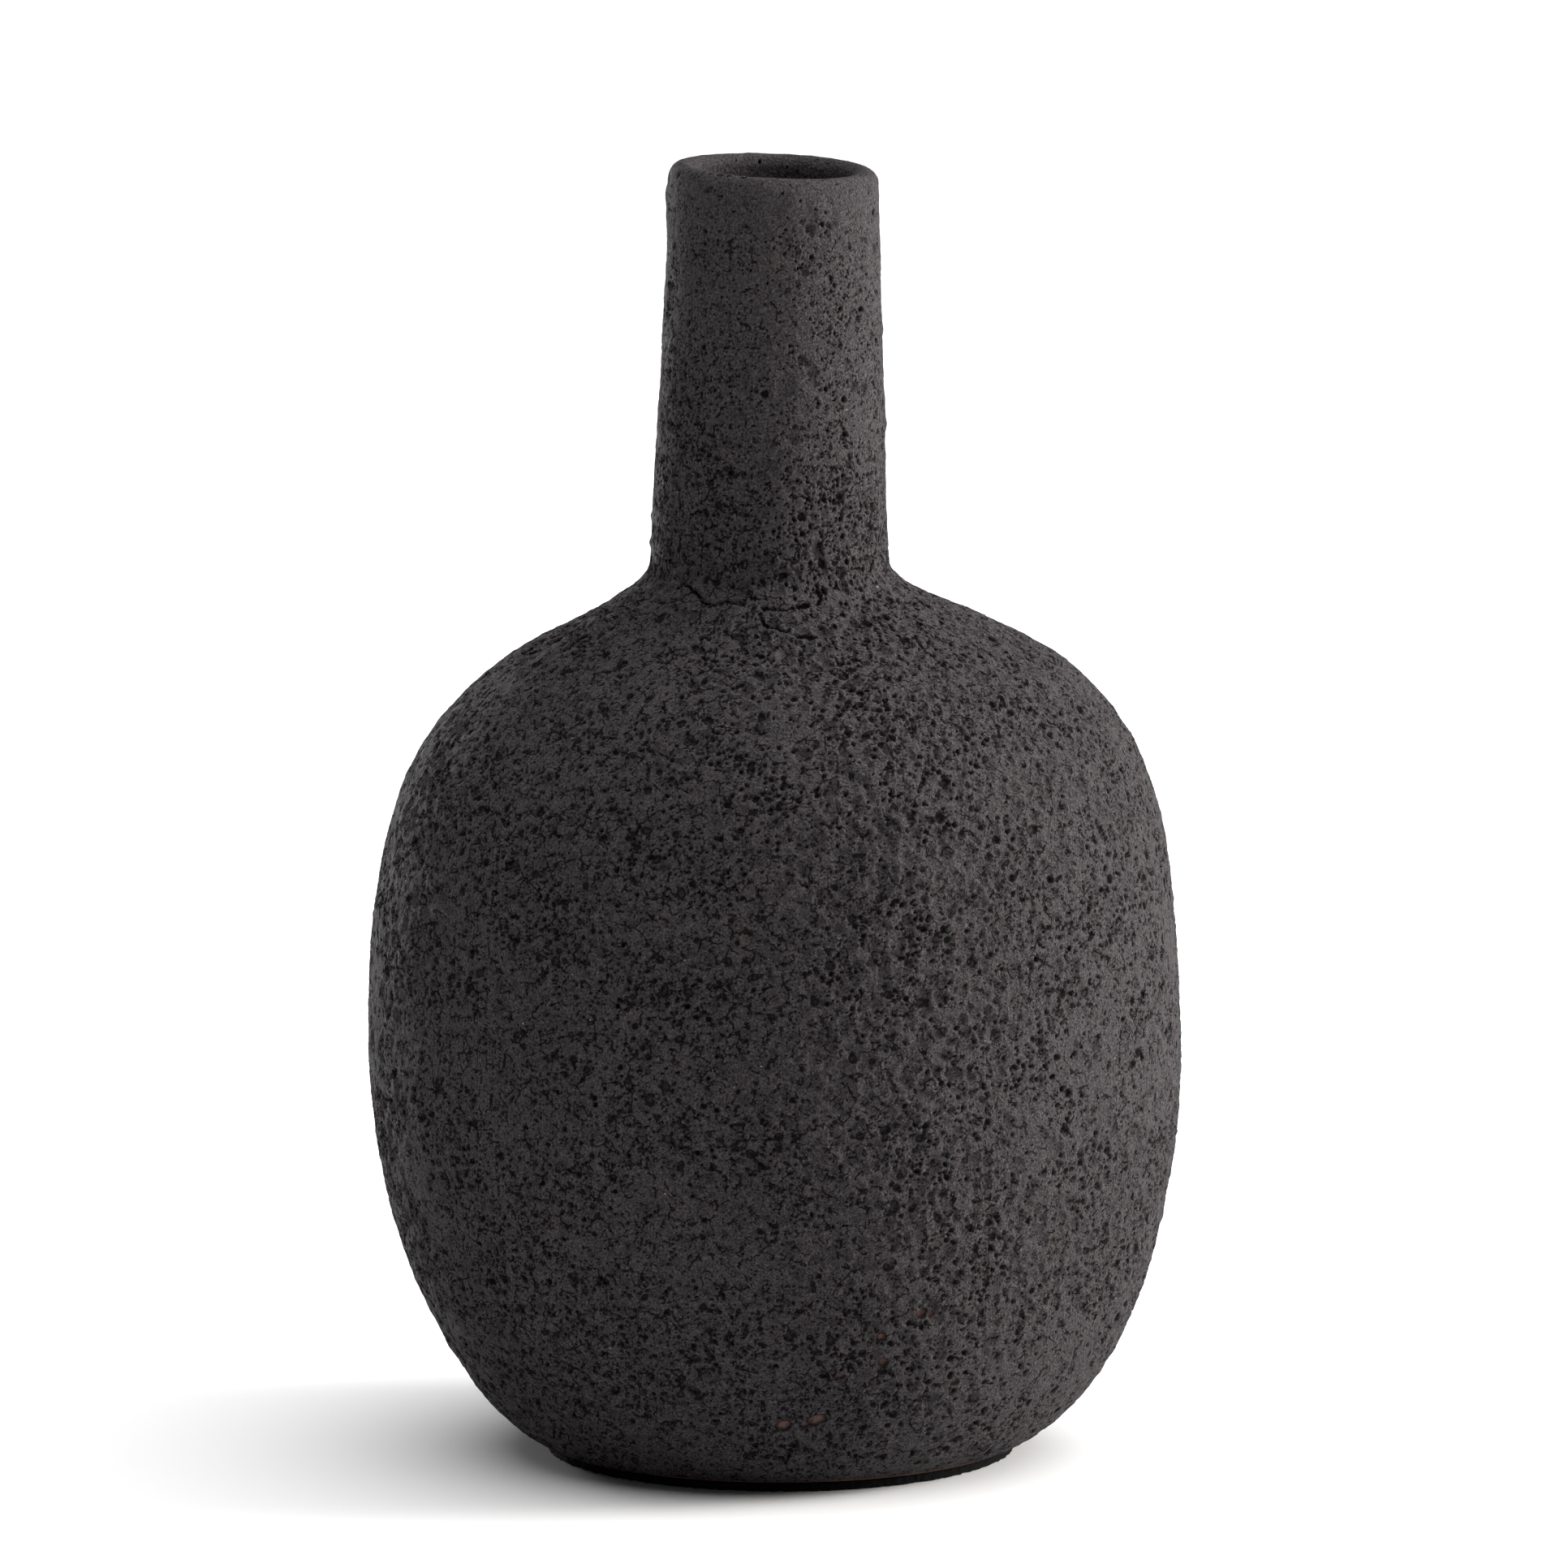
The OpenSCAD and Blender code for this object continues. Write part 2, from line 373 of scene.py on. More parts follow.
def lumpy(points, size, seed):
    """Smooth random unevenness from -1 to 1, its lumps about `size` across.

    The long numbers only scramble the corner of a cell into a height that looks random."""
    cell = np.floor(points / size).astype(np.int64)
    f = points / size - cell
    f = f * f * (3 - 2 * f)
    total = np.zeros(len(points))
    for corner in np.ndindex(2, 2, 2):
        key = (cell + corner) @ np.array([73856093, 19349663, 83492791]) + seed * 7919
        key = (key ^ (key >> 13)) * 1274126177 & 0xFFFFFFFF
        key = (key ^ (key >> 15)) * 668265263 & 0xFFFFFFFF
        value = ((key ^ (key >> 16)) & 0xFFFF) / 32767.5 - 1
        total += value * np.prod(np.where(corner, f, 1 - f), axis=1)
    return total


# The coat's relief on that grid, all in millimetres: poured unevenness, what is added and what is sunk
flat = smooth_face.reshape(-1, 3)
lumps = (0.4 * lumpy(flat, 38 * MM, 1) + 0.22 * lumpy(flat, 14 * MM, 2)
         + 0.16 * lumpy(flat, 5 * MM, 3) + 0.12 * lumpy(flat, 2.4 * MM, 4)
         + 0.12 * lumpy(flat, 1.2 * MM, 5)).reshape(len(face_line), columns)
lifted = np.zeros_like(lumps)
sunk = np.zeros_like(lumps)
pit_edge = np.full_like(lumps, 1.0)                  # how far outside the nearest pit's edge
split_edge = np.full_like(lumps, 1.0)                # and outside the nearest split at the neck's foot
clay_shows = np.zeros_like(lumps)


def window(at, angle, reach):
    """The part of the coat's grid round a place: where it is, and how far up and across each point is."""
    i0, i1 = np.searchsorted(along, [at - reach, at + reach])
    radius = face_line[min(int(at / grain), len(face_line) - 1), 0]
    span = int(reach / radius / TURN * columns) + 1
    middle = angle / TURN * columns
    cols = np.arange(math.floor(middle) - span, math.floor(middle) + span + 2)
    up = (along[i0:i1] - at)[:, None]
    over = ((cols - middle) * TURN / columns * radius)[None, :]
    return np.ix_(np.arange(i0, i1), cols % columns), up, over


def scoop(at, angle, radius, depth, power, stretch=1.0, lean=0.0, edge=pit_edge, clay=0.0):
    """Sinks a round hollow; a high power gives a flat floor. Without an edge it is a soft scar with a rim."""
    where, up, over = window(at, angle, radius * stretch * 1.2 + 0.5 * MM)
    c, s = math.cos(lean), math.sin(lean)
    d = np.sqrt(((up * c + over * s) / stretch) ** 2 + (over * c - up * s) ** 2)
    cut = depth / MM * np.clip(1 - (d / radius) ** power, 0, None)
    sunk[where] = np.maximum(sunk[where], cut)
    if edge is not None:
        edge[where] = np.minimum(edge[where], (d - radius) / MM)
    else:
        rim = scar_rim / MM * np.exp(-((d / radius - 1.08) / 0.12) ** 2)
        lifted[where] = np.maximum(lifted[where], rim)
    if clay:
        clay_shows[where] = np.maximum(clay_shows[where], np.clip(1.6 - 2 * d / radius, 0, 1) * clay)


def swell(at, angle, radius, height, power=2):
    """Raises one lump on the coat; a high power makes it a flat flake with a steep edge."""
    where, up, over = window(at, angle, radius * 2)
    away = np.sqrt(up ** 2 + over ** 2) / radius
    lifted[where] = np.maximum(lifted[where], height / MM * np.exp(-1.5 * away ** power))


def from_front(degrees):
    """The angle round the pot of a place some degrees to the right of its front."""
    return math.radians(degrees - 90) % TURN


def spot(height, degrees):
    """Where on the coat a place is, from its height in millimetres and degrees round from the front."""
    row = int(np.searchsorted(face_line[:crest, 1], height * MM))
    return along[row], from_front(degrees)


def wear(points, rows):
    """1 on the belly and shoulder, falling to less up the neck and inside the mouth."""
    inside = rows > len(face_line) - 20 * MM / grain
    share = np.interp(points[:, 2], np.array([0, 8, 205, 230, 262, 282, 294, 300]) * MM,
                      [0.6, 1, 1, 1, 0.85, 0.8, 0.25, 0.1])
    return np.where(inside, 0.15, share)


def scar_share(points, rows):
    """Bubble scars crowd in a slanting band over the right of the belly, and in patches behind."""
    x, y, z = points.T
    band = np.exp(-(((x - 0.42 * (z - 95 * MM) - 12 * MM) / (34 * MM)) ** 2)) * (y < 0)
    patch = np.clip(lumpy(points, 26 * MM, 11) * 1.8, 0, 1) * 0.8
    return wear(points, rows) * np.clip(np.maximum(band, patch) * (z < 215 * MM) + 0.12, 0, 1)


def pit_share(points, rows):
    """Burst bubbles gather in loose patches."""
    return wear(points, rows) * np.clip(0.5 + 0.7 * lumpy(points, 15 * MM, 12), 0.12, 1)


def scatter(count, radii, depths, power, share, edge=pit_edge, above=0.0):
    """Scatters hollows over the coat, keeping the share of them that `share` gives for each place."""
    area = face_line[:, 0] * (face_line[:, 1] >= above)
    rows = rng.choice(len(face_line), count, p=area / area.sum())
    angles = rng.random(count) * TURN
    sizes = radii[0] + (radii[1] - radii[0]) * rng.random(count) ** 2
    depth = depths[0] + (depths[1] - depths[0]) * rng.random(count)
    points = smooth_face[rows, (angles / TURN * columns).astype(int) % columns]
    keep = rng.random(count) < share(points, rows)
    sizes *= np.interp(points[:, 2], np.array([0, 205, 235, 300]) * MM, [1, 1, 0.75, 0.65])
    stretch = 1 + 0.5 * rng.random(count) ** 2
    lean = rng.random(count) * math.pi
    for k in np.flatnonzero(keep):
        scoop(rows[k] * grain, angles[k], sizes[k], depth[k], power, stretch[k], lean[k], edge)


# Soft bubble scars, deep craters, small pits, and more small pits on the neck
scatter(22000, (0.9 * MM, 2.3 * MM), (0.35 * MM, 0.95 * MM), 2.2, scar_share, None)
scatter(3200, (0.7 * MM, 1.25 * MM), (0.7 * MM, 1.25 * MM), 4, pit_share)
scatter(56000, (0.3 * MM, 0.66 * MM), (0.5 * MM, 1.05 * MM), 4, pit_share)
scatter(9000, (0.3 * MM, 0.5 * MM), (0.4 * MM, 0.7 * MM), 4, pit_share, above=205 * MM)

# Splits that opened where the neck meets the shoulder: width, depth, then (height, degrees) along it
neck_foot_splits = [
    (0.30, 1.1, [(205.8, -43.5), (204.0, -35.2), (202.2, -27.2), (203.4, -19.8), (202.8, -11.8)]),
    (0.26, 1.0, [(202.2, -4.2), (201.8, 3.7), (202.5, 12.2)]),
    (0.50, 1.3, [(202.5, 11.5), (202.8, 15.5)]),
    (0.28, 1.1, [(200.6, -4.8), (199.0, -3.5), (198.5, 0.2), (197.8, 4.5)]),
    (0.60, 1.3, [(197.2, 6.5), (196.9, 12.0)]),
    (0.22, 0.8, [(205.6, 22.8), (204.2, 23.0), (202.8, 20.8)]),
    (0.22, 0.8, [(202.8, 50.0), (201.5, 54.8), (200.8, 62.0), (200.0, 69.2), (197.0, 76.2)]),
    (0.24, 0.8, [(195.5, 26.5), (193.0, 25.0)]),
    (0.24, 0.8, [(199.2, -68.0), (198.2, -60.0), (199.4, -53.0)]),
    (0.30, 1.0, [(203.5, 140.0), (202.0, 152.0), (203.2, 163.0), (202.4, 178.0)]),
    (0.28, 0.9, [(200.5, 215.0), (202.0, 226.0), (201.0, 240.0)])]
for width, depth, path in neck_foot_splits:
    for (h0, a0), (h1, a1) in zip(path, path[1:]):
        for t in np.linspace(0, 1, 14):
            level = h0 + t * (h1 - h0) + rng.normal(0, 0.16)
            at, angle = spot(level, a0 + t * (a1 - a0) + rng.normal(0, 0.2))
            half = (width + 0.06) * (0.7 + 0.6 * rng.random()) * MM
            scoop(at, angle, half, depth * MM, 4, 1.5, math.pi / 2, split_edge)

# Single larger craters: height, degrees, radius and depth
craters = [
    (199.5, -46.2, 1.2, 1.1), (196.8, -76.2, 1.4, 1.2), (192.8, -69.2, 1.3, 1.0), (190.8, -80.0, 1.6, 1.2),
    (194.8, -26.0, 1.0, 1.1), (196.8, -14.5, 0.9, 1.0), (198.5, 21.2, 0.8, 0.9), (198.8, 34.2, 1.1, 1.2),
    (195.2, 40.2, 1.0, 1.1), (192.5, 33.0, 0.9, 1.0), (187.0, 16.8, 1.0, 1.1), (183.2, 49.5, 1.1, 1.1),
    (184.5, 60.3, 1.0, 1.0), (192.2, 74.0, 1.2, 1.0), (183.2, -62.8, 1.0, 0.9), (187.5, -57.0, 1.0, 1.0),
    (191.2, -51.5, 1.2, 1.1), (189.8, -43.0, 1.0, 1.0), (199.2, 75.0, 0.9, 0.9), (250.5, -3.7, 0.9, 1.1),
    (190.0, 100.0, 1.3, 1.1), (195.0, 130.0, 1.1, 1.0), (193.0, 200.0, 1.4, 1.1)]
for height, degrees, radius, depth in craters:
    at, angle = spot(height, degrees)
    scoop(at, angle, radius * MM, depth * MM, 4, 1.2, rng.random() * 3)
    at += rng.normal(0, 0.8) * radius * MM
    angle += rng.normal(0, 0.02)
    scoop(at, angle, radius * 0.5 * MM, depth * MM, 4)

# Holes deep enough to show the red clay body: height, degrees, radius and stretch
clay_holes = [
    (46.8, 22.0, 1.35, 1.2), (46.5, 23.6, 1.08, 1.0), (41.5, 15.8, 1.215, 1.2), (35.0, 16.5, 1.35, 1.1),
    (28.8, 29.8, 1.08, 1.2), (20.6, 6.0, 1.89, 1.5), (19.4, 3.9, 1.08, 1.2), (19.3, 0.2, 1.755, 1.3),
    (12.6, 35.2, 1.35, 1.4), (32.0, 9.5, 0.81, 2.0), (60.0, 150.0, 1.485, 1.3), (33.0, 205.0, 1.62, 1.2),
    (120.0, 118.0, 1.215, 1.2), (24.0, 262.0, 1.485, 1.4)]
for height, degrees, radius, stretch in clay_holes:
    scoop(*spot(height, degrees), radius * MM, 1.0 * MM, 3, stretch, 1.2, clay=1.0)

# Soft lumps, the drip that ran down from the lip among them: height, degrees, radius and rise
soft_lumps = [
    (296.0, -4, 3.0, 0.35), (295.2, 11, 3.0, 0.45), (292.6, 26, 3.2, 0.5), (289.6, 38, 3.2, 0.45),
    (286.8, 50, 3.0, 0.4), (283.0, 60, 2.6, 0.3), (292.0, -90, 4.0, 0.45), (288.0, -84, 3.0, 0.3),
    (118.0, -66, 6.0, 0.5), (86.0, -60, 7.0, 0.4), (140.0, -60, 6.0, 0.35), (218.0, -92, 1.2, 0.45),
    (212.0, -90, 1.3, 0.5), (129.0, 91, 1.6, 0.4), (107.0, 90, 1.3, 0.5), (76.0, 92, 1.5, 0.4),
    (252.0, 14, 2.2, 0.3), (256.0, -2, 2.4, 0.25), (240.0, 88, 1.6, 0.35), (262.0, 90, 1.6, 0.35)]
for height, degrees, radius, rise in soft_lumps:
    swell(*spot(height, degrees), radius * MM, rise * MM)

# Flakes that stand out from the shoulder, listed the same way
flakes = [
    (200.5, -78, 2.4, 0.75), (198.6, -70, 2.0, 0.6), (196.6, -84, 2.4, 0.7), (199.5, 70, 2.2, 0.6),
    (197.0, 80, 2.4, 0.7), (201.0, -58, 2.0, 0.45), (200.9, -16, 3.0, 0.3), (200.2, 8, 2.2, 0.35),
    (199.4, 20, 2.6, 0.3), (204.2, -28, 1.8, 0.3), (194.5, 88, 2.0, 0.6), (192.0, -88, 2.4, 0.6)]
for height, degrees, radius, rise in flakes:
    swell(*spot(height, degrees), radius * MM, rise * MM, 6)

# Broad hollows, one of them on the neck, then notches in the top of the lip
broad_hollows = [
    (252.6, 6.5, 2.6, 0.5, 3, 1.2, 0.4), (112.0, -60, 3.6, 0.6, 2, 2.4, 0.1),
    (96.0, -58, 4.5, 0.55, 2, 1.8, 0.1), (134.0, -53, 3.4, 0.35, 2, 2.4, 0.1),
    (104.0, -55, 2.6, 0.5, 2, 2.0, 0.1),
    (66.0, -40, 4.0, 0.35, 2, 1.6, 0.1), (150.0, 30, 4.5, 0.35, 2, 1.4, 0.1)]
for height, degrees, radius, depth, power, stretch, lean in broad_hollows:
    scoop(*spot(height, degrees), radius * MM, depth * MM, power, stretch, lean, edge=None)
for degrees, radius in ((-42, 0.9), (-35, 1.1), (-29, 0.8), (-19, 0.9)):
    scoop(along[crest] - 0.6 * MM, from_front(degrees), radius * MM, 0.6 * MM, 2.5)

# The poured unevenness is less up the neck and round the lip, and all relief fades out at both ends
calm = np.interp(along, [0, 1 * MM, along[crest] - 95 * MM, along[crest] - 80 * MM, along[crest] - 6 * MM,
                         along[crest] - 2 * MM, along[-1]], [0, 1, 1, 0.75, 0.75, 0.45, 0.4])
ends = np.clip(along / (0.6 * MM), 0, 1) * np.clip((along[-1] - along) / (2 * MM), 0, 1)
relief = (np.clip(lumps, -0.55, 0.8) * calm[:, None] + lifted - sunk) * ends[:, None] * MM
relief = np.maximum(relief, thinnest - coat_depth)
outward = np.stack([face_out[:, :1] * np.cos(spin), face_out[:, :1] * np.sin(spin),
                    np.repeat(face_out[:, 1:], columns, 1)], axis=2)
rough_face = smooth_face + relief[..., None] * outward

# The coat's back, against the clay
back_line = deeper(evenly(np.vstack([belly_line, flare_line]), 3 * MM), coat_depth)
back_line[:, 1] = np.maximum(back_line[:, 1], coat_low.z)
back_line = np.vstack([back_line, evenly(np.array([back_line[-1], clay_lip_line[0]]), 3 * MM)[1:-1],
                       clay_lip_line, [[clay_bore, liner_high.z]]])[::-1]
back_counts = np.full(len(back_line), columns // 4)
back_counts[[0, -1]] = columns // 2
neck_start = int(np.argmax(face_line[:, 1] > neck_foot[1] + 2 * MM))


def thinned(grid):
    """The coat's grid row by row, with half the points on the narrow neck."""
    return [row if k < neck_start else row[::2] for k, row in enumerate(grid)]


counts = [columns] * neck_start + [columns // 2] * (len(face_line) - neck_start) + list(back_counts)
points = np.vstack(thinned(rough_face) + [turned(back_line, back_counts)])
ring_v = np.r_[np.linspace(0, 0.95, len(face_line)), np.linspace(0.95, 1, len(back_line) + 1)]

# Matt lava-like slip: charcoal with a faint warm mottle, a sandy grain, near-black holes and cracks,
# pale specks, and red clay where it is thin. The near-black in the holes and cracks is partly the slip's
# own darker colour and partly painted shade. The grain is nearer 0.2 mm, drawn at 0.55 mm to show.
coat_material, tree, shader, place = new_material(
    "matt_crater_slip", {"IOR": 1.45, "Specular IOR Level": 0.18})
broad = add(tree, "TexNoise", {"Vector": place, "Scale": 1 / (30 * MM), "Detail": 3.0})
mottle = add(tree, "TexNoise", {"Vector": place, "Scale": 1 / (3.2 * MM), "Detail": 5.0, "Roughness": 0.6})
grit = add(tree, "TexNoise", {"Vector": place, "Scale": 1 / (0.55 * MM), "Detail": 3.0, "Roughness": 0.65})
position = add(tree, "SeparateXYZ", {0: place})

# Shrinkage cracks: short jagged lengths of cell edges, most of them on the left of the front
wander = add(tree, "TexNoise", {"Vector": place, "Scale": 1 / (1.4 * MM), "Detail": 3.0})
shift = add(tree, "VectorMath", {0: wander.outputs["Color"], 1: (0.5,) * 3}, operation="SUBTRACT")
warped = add(tree, "VectorMath", {0: shift, 1: (2.0 * MM,) * 3, 2: place}, operation="MULTIPLY_ADD")
plates = add(tree, "TexVoronoi", {"Vector": warped, "Scale": 1 / (3.6 * MM)}, feature="DISTANCE_TO_EDGE")
crack_width = add(tree, "MapRange", {0: mottle, 1: 0.35, 2: 0.65, 3: 0.024, 4: 0.062}, **SOFT)
crack = add(tree, "Math", {0: crack_width, 1: plates}, operation="SUBTRACT")
crack = add(tree, "MapRange", {0: crack, 1: -0.015, 2: 0.015, 3: 0.0, 4: 1.0}, **SOFT)
to_right = add(tree, "MapRange", {0: position.outputs["X"], 1: -0.08, 2: 0.08, 3: 0.485, 4: 0.575}, **SOFT)
up_neck = add(tree, "MapRange", {0: position.outputs["Z"], 1: 0.21, 2: 0.27, 3: 0.0, 4: 0.09}, **SOFT)
crack_least = add(tree, "Math", {0: broad, 1: -0.3, 2: 0.15}, operation="MULTIPLY_ADD")
crack_least = add(tree, "Math", {0: crack_least, 1: to_right}, operation="ADD")
crack_least = add(tree, "Math", {0: crack_least, 1: up_neck}, operation="ADD")
crack_patch = add(tree, "TexNoise", {"Vector": place, "Scale": 1 / (2.4 * MM), "Detail": 1.0})
crack_over = add(tree, "Math", {0: crack_patch, 1: crack_least}, operation="SUBTRACT")
crack_kept = add(tree, "MapRange", {0: crack_over, 1: -0.02, 2: 0.03, 3: 0.0, 4: 1.0}, **SOFT)
crack = add(tree, "Math", {0: crack, 1: crack_kept}, operation="MULTIPLY")

# Pinholes, larger in spongy patches, and pockmarks; all the marks are faint round the lip
sponge = add(tree, "TexNoise", {"Vector": place, "Scale": 1 / (7 * MM), "Detail": 3.0})
pinhole_most = add(tree, "MapRange", {0: sponge, 1: 0.42, 2: 0.6, 3: 0.3, 4: 0.44}, **SOFT)
pinhole = holes(tree, place, 0.72 * MM, 0.0, pinhole_most)
pockmark = holes(tree, place, 1.6 * MM, -0.1, 0.29)
marks = add(tree, "Math", {0: pinhole, 1: pockmark}, operation="MAXIMUM")
marks = add(tree, "Math", {0: marks, 1: 0.85}, operation="MULTIPLY")
marks = add(tree, "Math", {0: marks, 1: crack}, operation="MAXIMUM")
near_lip = add(tree, "MapRange", {0: position.outputs["Z"], 1: 0.284, 2: 0.297, 3: 1.0, 4: 0.3}, **SOFT)
marks = add(tree, "Math", {0: marks, 1: near_lip}, operation="MULTIPLY")

# Pits and splits from the mesh, near-black partly in the slip's own colour and partly in painted shade:
# a small pit is dark all over, a wide one has a paler floor with painted shade round its walls
depth_for_painted_shade = add(tree, "Attribute", {}, attribute_name="sunk").outputs["Fac"]
clay_in = add(tree, "Attribute", {}, attribute_name="clay").outputs["Fac"]
edge_in = add(tree, "Attribute", {}, attribute_name="pit_edge").outputs["Fac"]
split_in = add(tree, "Attribute", {}, attribute_name="split_edge").outputs["Fac"]
pit = add(tree, "MapRange", {0: edge_in, 1: 0.0, 2: -0.28, 3: 0.0, 4: 1.0}, **SOFT)
pit_floor = add(tree, "MapRange", {0: edge_in, 1: -0.4, 2: -0.85, 3: 1.0, 4: 0.45}, **SOFT)
pit = add(tree, "Math", {0: pit, 1: pit_floor}, operation="MULTIPLY")
pit_drop = add(tree, "MapRange", {0: edge_in, 1: 0.08, 2: -0.25, 3: 0.0, 4: 1.0}, **SOFT)
split = add(tree, "MapRange", {0: split_in, 1: 0.04, 2: -0.2, 3: 0.0, 4: 1.0}, **SOFT)
# Near-black shares for the holes, cracks, pits and splits: partly the slip's own colour, partly painted shade
mark_share = add(tree, "Math", {0: marks, 1: 0.82}, operation="MULTIPLY")
pit_dark_and_shade = add(tree, "Math", {0: pit, 1: 0.7}, operation="MULTIPLY")
split_share = add(tree, "Math", {0: split, 1: 0.92}, operation="MULTIPLY")
hollow = add(tree, "Math", {0: mark_share, 1: pit_dark_and_shade}, operation="MAXIMUM")
hollow = add(tree, "Math", {0: hollow, 1: split_share}, operation="MAXIMUM")

# Crisp rims of the bubble scars, thickest in the slanting band over the belly
off_band = add(tree, "Math", {0: position.outputs["Z"], 1: -0.42, 2: position.outputs["X"]},
               operation="MULTIPLY_ADD")
off_band = add(tree, "Math", {0: off_band, 1: 28 * MM}, operation="ADD")
off_band = add(tree, "Math", {0: off_band}, operation="ABSOLUTE")
band = add(tree, "MapRange", {0: off_band, 1: 25 * MM, 2: 60 * MM, 3: 1.0, 4: 0.35}, **SOFT)
scar = holes(tree, place, 3.0 * MM, 0.12, 0.52)
small_scar = holes(tree, place, 1.5 * MM, 0.05, 0.48)
scar_drop = add(tree, "Math", {0: small_scar, 1: 0.55, 2: scar}, operation="MULTIPLY_ADD")
scar_drop = add(tree, "Math", {0: scar_drop, 1: band}, operation="MULTIPLY")

# Pale specks of feldspar, in a tenth of their cells
speck = holes(tree, place, 3.2 * MM, 0.03, 0.06, 0.1)

colour = lay_colour(tree, linear("343133"), linear("423d3c"), mottle, 0.5, 0.72, 0.6)
colour = lay_colour(tree, colour, linear("524c4d"), grit, 0.51, 0.67, 0.72)
colour = lay_colour(tree, colour, linear("161314"), grit, 0.5, 0.35, 0.78)
# Painted shade: the coat is darker the deeper the mesh is sunk
colour = lay_colour(tree, colour, linear("141111"), depth_for_painted_shade, 0.3, 1.2, 0.2)
# Near-black laid in the holes, cracks, pits and splits: partly the slip's own colour, partly painted shade
colour = add(tree, "Mix", {0: hollow, 6: colour, 7: linear("080606")}, **RGBA)
colour = add(tree, "Mix", {0: speck, 6: colour, 7: linear("b9b2aa")}, **RGBA)
colour = add(tree, "Mix", {0: clay_in, 6: colour, 7: linear("5a4540")}, **RGBA)
grit_height = add(tree, "Math", {0: grit, 1: 0.6}, operation="MULTIPLY")
height = add(tree, "Math", {0: mottle, 1: 0.75, 2: grit_height}, operation="MULTIPLY_ADD")
height = add(tree, "Math", {0: marks, 1: -0.4, 2: height}, operation="MULTIPLY_ADD")
height = add(tree, "Math", {0: pit_drop, 1: -0.42, 2: height}, operation="MULTIPLY_ADD")
height = add(tree, "Math", {0: scar_drop, 1: -0.5, 2: height}, operation="MULTIPLY_ADD")
shine = add(tree, "MapRange", {0: hollow, 1: 0.0, 2: 0.6, 3: 0.18, 4: 0.04}, **SOFT)
feed(tree, shader, {"Specular IOR Level": shine})
finish(tree, shader, colour, mottle, (0.75, 0.95), height)

coat = build("crater_coat_skin", settle(points), weave(counts, True), ring_v,
             "crater_coat", coat_material)
for label, field in (("sunk", sunk * ends[:, None]), ("pit_edge", pit_edge), ("split_edge", split_edge),
                     ("clay", clay_shows)):
    values = np.concatenate(thinned(field) + [np.full(sum(back_counts), field[0, 0])])
    made = coat.data.attributes.new(label, "FLOAT", "POINT")
    made.data.foreach_set("value", values.astype(np.float32))

# ---- Liner glaze -----------------------------------------------------------------------------
# A smooth dark glaze poured round the inside and out again, so that the vase holds water. It runs
# over the throwing rings and stops in the bore where the crater coat begins.

liner_inside = throwing_rings(inside_line(coat_depth + wall + glaze_depth), 6.5 * MM, 0.5 * MM)

# Satin brown-black glaze: half glossy, breaking paler on its ripples, with a few pinholes
liner_material, tree, shader, place = new_material(
    "satin_liner_glaze", {"IOR": 1.5, "Specular IOR Level": 0.5})
cloud = add(tree, "TexNoise", {"Vector": place, "Scale": 1 / (12 * MM), "Detail": 3.0})
ripple = add(tree, "TexNoise", {"Vector": place, "Scale": 1 / (2.5 * MM), "Detail": 4.0})
pinhole = holes(tree, place, 2.2 * MM, -0.2, 0.16)
colour = lay_colour(tree, linear("37322f"), linear("2a2625"), cloud, 0.35, 0.65)
colour = lay_colour(tree, colour, linear("4a4039"), ripple, 0.5, 0.72, 0.5)
colour = add(tree, "Mix", {0: pinhole, 6: colour, 7: linear("100c0b")}, **RGBA)
ripple_height = add(tree, "Math", {0: ripple, 1: 0.12}, operation="MULTIPLY")
height = add(tree, "Math", {0: pinhole, 1: -0.2, 2: ripple_height}, operation="MULTIPLY_ADD")
finish(tree, shader, colour, ripple, (0.38, 0.55), height)
turn("liner_glaze", np.vstack([
    [[0, clay_inside[0, 1]]], clay_inside, [[clay_bore, liner_high.z], [bore, liner_high.z]],
    liner_inside[::-1], [[0, liner_inside[0, 1]]]]), liner_material, 0.8 * MM, 480)

# ---- Adhesive film ---------------------------------------------------------------------------
# Brown contact adhesive, brushed on the bare foot to hold the felt. It shows as a thin line at the
# edge.

film_low, film_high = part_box("adhesive_film")

# Dried contact adhesive: dark brown, smeared, and half glossy where it lies thick. Its near-black brown is
# partly the glue's own colour and partly painted shade in the gap between the pot's foot and the felt
film_material, tree, shader, place = new_material("brown_contact_adhesive", {"IOR": 1.5})
smear = add(tree, "TexNoise", {"Vector": place, "Scale": 1 / (4 * MM), "Detail": 3.0})
brushing = add(tree, "TexNoise", {"Vector": place, "Scale": 1 / (0.8 * MM), "Detail": 3.0})
colour = lay_colour(tree, linear("1c1511"), linear("2a1f18"), smear, 0.35, 0.65)
height = add(tree, "Math", {0: brushing, 1: 0.1}, operation="MULTIPLY")
finish(tree, shader, colour, smear, (0.4, 0.65), height)
turn("adhesive_film", [[0, film_low.z], [film_high.x, film_low.z], [film_high.x, film_high.z],
     [0, film_high.z]], film_material, 0.2 * MM, 360)

# ---- Felt pad --------------------------------------------------------------------------------
# Black needled felt, cut round with a knife. Its edge is fuzzy and a little uneven, its face is
# flattened by the weight of the pot, and pale lint has caught in it.

